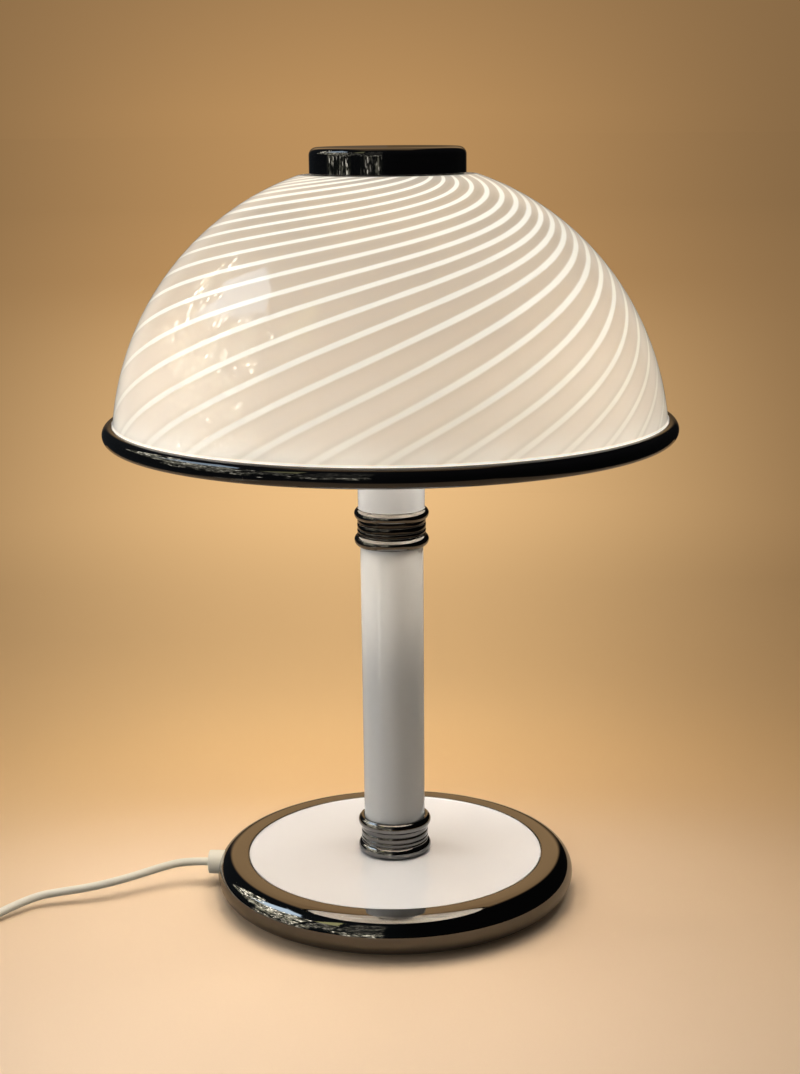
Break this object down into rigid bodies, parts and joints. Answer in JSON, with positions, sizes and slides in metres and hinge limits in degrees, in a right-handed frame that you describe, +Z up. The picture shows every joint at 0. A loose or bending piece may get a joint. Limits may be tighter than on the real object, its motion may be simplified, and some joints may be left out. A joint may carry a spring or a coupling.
{
  "type": "table lamp",
  "caption": "Mushroom table lamp: swirl-striped glass dome with dark rim and cap, white column with ribbed dark collars, round weighted base, cord with in-line switch and plug.",
  "frame": {"origin": "on the table, under the middle of the round base", "axes": "+Z up; the cord leaves the base towards -X and the picture was taken from -Y; the lampholders lie along X"},
  "size_m": [0.5415, 0.4708, 0.477],
  "materials": {
    "swirl_glass": "opal glass with pale swirled stripes",
    "black_lacquer": "gloss black lacquer",
    "dark_nickel": "polished black nickel",
    "white_enamel": "gloss",
    "cast_iron": "rough",
    "felt": "felt",
    "zinc_steel": "zinc plated",
    "ivory_plastic": "satin",
    "rocker_plastic": "satin",
    "ivory_cord": "satin",
    "white_plastic": "matte",
    "brown_wire": "matte",
    "blue_wire": "matte",
    "wire_sheath": "matte",
    "holder_plastic": "matte",
    "porcelain": "glazed",
    "brass": "plain",
    "bulb_metal": "satin",
    "bulb_opal": "opal",
    "cork": "cork and rubber sheet",
    "rubber": "matte"
  },
  "bodies": {
    "lamp": {"base_disc": "white_enamel", "base_ring": "dark_nickel", "base_weight": "cast_iron", "bottom_plate": "zinc_steel", "bottom_screws": "zinc_steel", "branch_wire_left": "wire_sheath", "branch_wire_right": "wire_sheath", "carrier_gasket": "cork", "carrier_nut": "zinc_steel", "clamp_screws": "zinc_steel", "cluster_hub": "zinc_steel", "coil_tie": "white_plastic", "cord_clamp": "white_plastic", "cord_coil": "ivory_cord", "cord_gland": "ivory_plastic", "cord_lamp_lead": "ivory_cord", "cord_plug_lead": "ivory_cord", "cord_switch_lead": "ivory_cord", "felt_pad": "felt", "gland_nut": "ivory_plastic", "holder_arm_left": "zinc_steel", "holder_arm_right": "zinc_steel", "holder_insert_left": "porcelain", "holder_insert_right": "porcelain", "holder_shell_left": "holder_plastic", "holder_shell_right": "holder_plastic", "hub_connector": "white_plastic", "inner_cord": "ivory_cord", "lead_wire_live": "brown_wire", "lead_wire_neutral": "blue_wire", "lower_collar": "dark_nickel", "plug_body": "ivory_plastic", "plug_pins": "brass", "plug_relief": "ivory_plastic", "post_lock_nut": "zinc_steel", "rod_nut": "zinc_steel", "rod_washer": "zinc_steel", "shade_carrier": "zinc_steel", "shade_post": "zinc_steel", "stem_tube": "white_enamel", "switch_base": "ivory_plastic", "switch_contact_fixed": "brass", "switch_contact_spring": "brass", "switch_cover": "ivory_plastic", "switch_screws": "zinc_steel", "terminal_block": "white_plastic", "tie_rod": "zinc_steel", "upper_collar": "dark_nickel", "upper_sleeve": "white_enamel"},
    "shade": {"glass_shade": "swirl_glass", "rim_ring": "black_lacquer", "rim_seal": "rubber"},
    "cap": {"cap_gasket": "rubber", "cap_shell": "black_lacquer", "cap_boss": "brass"},
    "bulb_left": {"bulb_cap_left": "bulb_metal", "bulb_glass_left": "bulb_opal"},
    "bulb_right": {"bulb_cap_right": "bulb_metal", "bulb_glass_right": "bulb_opal"},
    "rocker": {"switch_rocker": "rocker_plastic"}
  },
  "joints": [
    {"name": "shade_lift", "type": "slide", "parent": "lamp", "child": "shade", "axis": [0, 0, 1], "range_m": [0, 0.2]},
    {"name": "cap_lift", "type": "slide", "parent": "shade", "child": "cap", "axis": [0, 0, 1], "range_m": [0, 0.03]},
    {"name": "bulb_left_out", "type": "slide", "parent": "lamp", "child": "bulb_left", "axis": [-0.866, 0, 0.5], "range_m": [0, 0.024]},
    {"name": "bulb_right_out", "type": "slide", "parent": "lamp", "child": "bulb_right", "axis": [0.866, 0, 0.5], "range_m": [0, 0.024]},
    {"name": "rocker_tip", "type": "hinge", "parent": "lamp", "child": "rocker", "pos_m": [-0.268, -0.166, 0.0154], "axis": [1, 0, 0], "range_deg": [-14, 0]}
  ]
}
